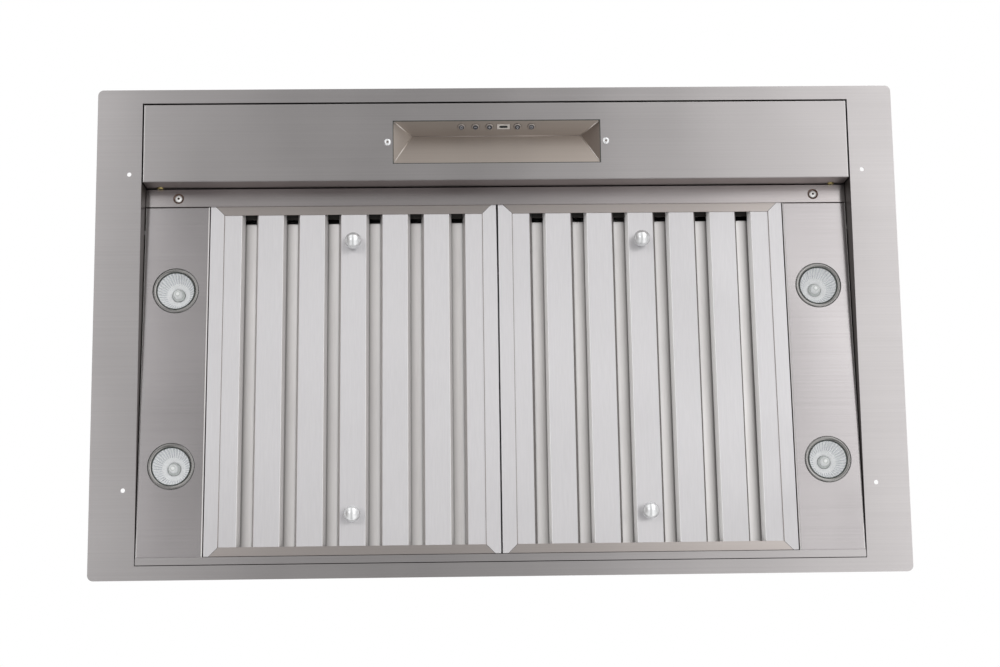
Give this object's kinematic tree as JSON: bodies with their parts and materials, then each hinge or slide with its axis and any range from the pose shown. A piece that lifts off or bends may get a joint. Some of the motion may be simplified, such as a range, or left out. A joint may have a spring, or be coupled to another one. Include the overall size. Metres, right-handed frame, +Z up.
{
  "type": "range hood insert",
  "caption": "Built-in range hood liner: flanged steel box with sloped baffle filters, lamps, push buttons, blower and top duct collar.",
  "frame": {"origin": "middle of the flange's screw pattern, on the flange's upper face", "axes": "+Z up towards the duct, -Y towards the cook, +X along the flange's long side"},
  "size_m": [0.9144, 0.5588, 0.3715],
  "materials": {
    "stainless": "brushed satin",
    "filter_steel": "brushed bright",
    "galvanised": "zinc coated",
    "chrome": "polished",
    "glass": "clear",
    "reflector": "faceted mirror",
    "socket": "moulded",
    "button": "satin",
    "display": "gloss",
    "board": "board",
    "motor": "satin",
    "component": "moulded"
  },
  "bodies": {
    "hood": {"blower_motor": "motor", "blower_mount_plate": "galvanised", "control_board": "board", "control_panel": "stainless", "control_panel_screws": "galvanised", "control_pocket": "stainless", "damper_rod": "galvanised", "display_window": "display", "exhaust_collar": "galvanised", "flange_frame": "stainless", "front_header": "stainless", "front_left_lamp_lens": "glass", "front_left_lamp_reflector": "reflector", "front_left_lamp_socket": "socket", "front_right_lamp_lens": "glass", "front_right_lamp_reflector": "reflector", "front_right_lamp_socket": "socket", "front_wall": "stainless", "header_screws": "chrome", "junction_box": "galvanised", "junction_box_lid": "galvanised", "lamp_transformer": "component", "left_lamp_panel": "stainless", "left_side_wall": "stainless", "motor_bracket": "galvanised", "motor_capacitor": "component", "panel_clips": "chrome", "pocket_screws": "chrome", "rear_ledge": "stainless", "rear_left_lamp_lens": "glass", "rear_left_lamp_reflector": "reflector", "rear_left_lamp_socket": "socket", "rear_right_lamp_lens": "glass", "rear_right_lamp_reflector": "reflector", "rear_right_lamp_socket": "socket", "rear_wall": "stainless", "right_lamp_panel": "stainless", "right_side_wall": "stainless", "roof_plate": "stainless", "scroll_left_plate": "galvanised", "scroll_right_plate": "galvanised", "scroll_wrap": "galvanised"},
    "button_1": {"button_1": "button"},
    "button_2": {"button_2": "button"},
    "button_3": {"button_3": "button"},
    "button_4": {"button_4": "button"},
    "button_5": {"button_5": "button"},
    "left_filter": {"left_filter_frame": "filter_steel", "left_filter_front_baffles": "filter_steel", "left_filter_knobs": "chrome", "left_filter_rear_baffles": "filter_steel"},
    "right_filter": {"right_filter_frame": "filter_steel", "right_filter_front_baffles": "filter_steel", "right_filter_knobs": "chrome", "right_filter_rear_baffles": "filter_steel"},
    "impeller": {"impeller": "galvanised"},
    "front_flap": {"front_damper_flap": "galvanised"},
    "rear_flap": {"rear_damper_flap": "galvanised"}
  },
  "joints": [
    {"name": "button_1_press", "type": "slide", "parent": "hood", "child": "button_1", "axis": [0, -0.7727, 0.6347], "range_m": [0, 0.0015], "stiffness_N_per_m": 400, "springref_m": -0.0015},
    {"name": "button_2_press", "type": "slide", "parent": "hood", "child": "button_2", "axis": [0, -0.7727, 0.6347], "range_m": [0, 0.0015], "stiffness_N_per_m": 400, "springref_m": -0.0015},
    {"name": "button_3_press", "type": "slide", "parent": "hood", "child": "button_3", "axis": [0, -0.7727, 0.6347], "range_m": [0, 0.0015], "stiffness_N_per_m": 400, "springref_m": -0.0015},
    {"name": "button_4_press", "type": "slide", "parent": "hood", "child": "button_4", "axis": [0, -0.7727, 0.6347], "range_m": [0, 0.0015], "stiffness_N_per_m": 400, "springref_m": -0.0015},
    {"name": "button_5_press", "type": "slide", "parent": "hood", "child": "button_5", "axis": [0, -0.7727, 0.6347], "range_m": [0, 0.0015], "stiffness_N_per_m": 400, "springref_m": -0.0015},
    {"name": "left_filter_swing", "type": "hinge", "parent": "hood", "child": "left_filter", "pos_m": [0, -0.14812, 0.02821], "axis": [-1, 0, 0], "range_deg": [0, 70]},
    {"name": "right_filter_swing", "type": "hinge", "parent": "hood", "child": "right_filter", "pos_m": [0, -0.14812, 0.02821], "axis": [-1, 0, 0], "range_deg": [0, 70]},
    {"name": "impeller_spin", "type": "hinge", "parent": "hood", "child": "impeller", "pos_m": [0, -0.019, 0.188], "axis": [1, 0, 0], "continuous": true},
    {"name": "front_flap_swing", "type": "hinge", "parent": "hood", "child": "front_flap", "pos_m": [0, 0.04, 0.3232], "axis": [-1, 0, 0], "range_deg": [0, 75]},
    {"name": "rear_flap_swing", "type": "hinge", "parent": "hood", "child": "rear_flap", "pos_m": [0, 0.04, 0.3232], "axis": [1, 0, 0], "range_deg": [0, 75]}
  ]
}
